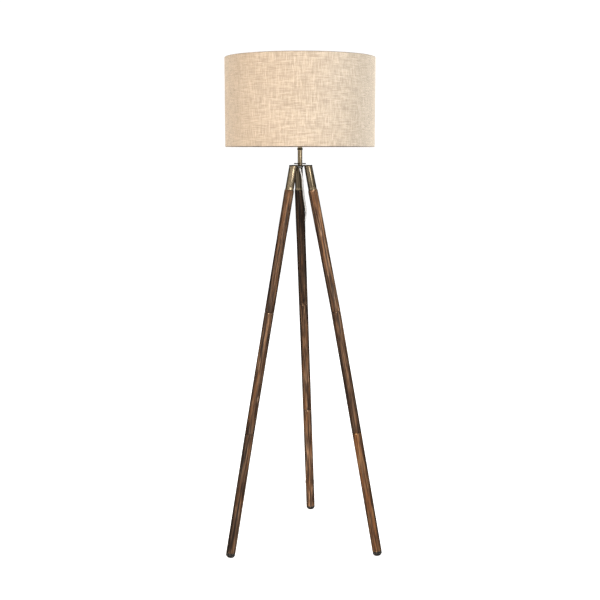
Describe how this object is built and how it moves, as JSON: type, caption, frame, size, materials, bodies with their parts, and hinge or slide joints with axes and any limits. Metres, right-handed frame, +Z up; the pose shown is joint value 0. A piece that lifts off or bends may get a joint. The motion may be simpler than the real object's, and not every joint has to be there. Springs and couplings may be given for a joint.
{
  "type": "tripod floor lamp",
  "caption": "Tripod floor lamp: a linen drum shade on a short brass stem, over round wooden legs in brass ferrules, with a mains flex down the rear leg.",
  "frame": {"origin": "on the floor, at the middle of the lamp's bounding box without its cord", "axes": "+Z up; +Y from the front, where two legs stand, to the single rear leg"},
  "size_m": [0.4761, 0.7857, 1.5],
  "materials": {
    "linen": "woven linen, natural beige",
    "liner": "white laminated film",
    "white_wire": "white powder coat",
    "wood": "dark stain, satin",
    "amber_wood": "redder stain, satin",
    "brass": "antique, satin",
    "steel": "zinc plated",
    "ceramic": "glazed",
    "opal_glass": "opal",
    "rubber": "matt",
    "clear_flex": "clear sheath over pale cores",
    "pale_plastic": "fine moulded grain",
    "plug_pin": "plain"
  },
  "bodies": {
    "root": {"holder_skirt": "brass", "holder_sleeve": "ceramic", "holder_insert": "ceramic", "screw_shell": "steel", "stem_tube": "brass", "stem_collar": "brass", "stem_disc": "brass", "stem_nut": "steel", "head_plate": "brass", "left_ferrule": "brass", "left_leg_upper": "wood", "left_leg_middle": "wood", "left_leg_lower": "wood", "left_top_stud": "steel", "left_upper_stud": "steel", "left_lower_stud": "steel", "left_foot": "rubber", "rear_ferrule": "brass", "rear_leg_upper": "wood", "rear_leg_middle": "wood", "rear_leg_lower": "wood", "rear_top_stud": "steel", "rear_upper_stud": "steel", "rear_lower_stud": "steel", "rear_foot": "rubber", "right_ferrule": "brass", "right_leg_upper": "wood", "right_leg_middle": "wood", "right_leg_lower": "amber_wood", "right_top_stud": "steel", "right_upper_stud": "steel", "right_lower_stud": "steel", "right_foot": "rubber", "cord_clip_1": "clear_flex", "cord_clip_2": "clear_flex", "cord_clip_3": "clear_flex", "switch_base": "pale_plastic", "switch_cover": "pale_plastic", "flex_inner": "clear_flex", "flex_upper": "clear_flex", "flex_lower": "clear_flex", "flex_hank": "clear_flex", "flex_tail": "clear_flex", "hank_tie": "rubber", "cord_relief": "clear_flex", "plug_body": "pale_plastic", "plug_pin_1": "plug_pin", "plug_pin_2": "plug_pin"},
    "shade": {"shade_cover": "linen", "shade_liner": "liner", "shade_top_ring": "white_wire", "shade_bottom_ring": "white_wire", "spider_ring": "white_wire", "spider_spoke_1": "white_wire", "spider_spoke_2": "white_wire", "spider_spoke_3": "white_wire"},
    "shade_nut": {"shade_ring_nut": "ceramic"},
    "bulb": {"bulb_cap": "steel", "bulb_glass": "opal_glass"},
    "rocker": {"switch_rocker": "pale_plastic"}
  },
  "joints": [
    {"name": "shade_turn", "type": "hinge", "parent": "root", "child": "shade", "pos_m": [-0.01207, -0.02973, 1.2633], "axis": [0, 0, 1], "continuous": true},
    {"name": "shade_nut_turn", "type": "hinge", "parent": "root", "child": "shade_nut", "pos_m": [-0.01207, -0.02973, 1.271], "axis": [0, 0, 1], "continuous": true},
    {"name": "bulb_turn", "type": "hinge", "parent": "root", "child": "bulb", "pos_m": [-0.01207, -0.02973, 1.282], "axis": [0, 0, 1], "continuous": true},
    {"name": "switch_rock", "type": "hinge", "parent": "root", "child": "rocker", "pos_m": [0.00301, 0.14054, 0.62587], "axis": [0.9994, 0, 0.0354], "range_deg": [-14, 0]}
  ]
}
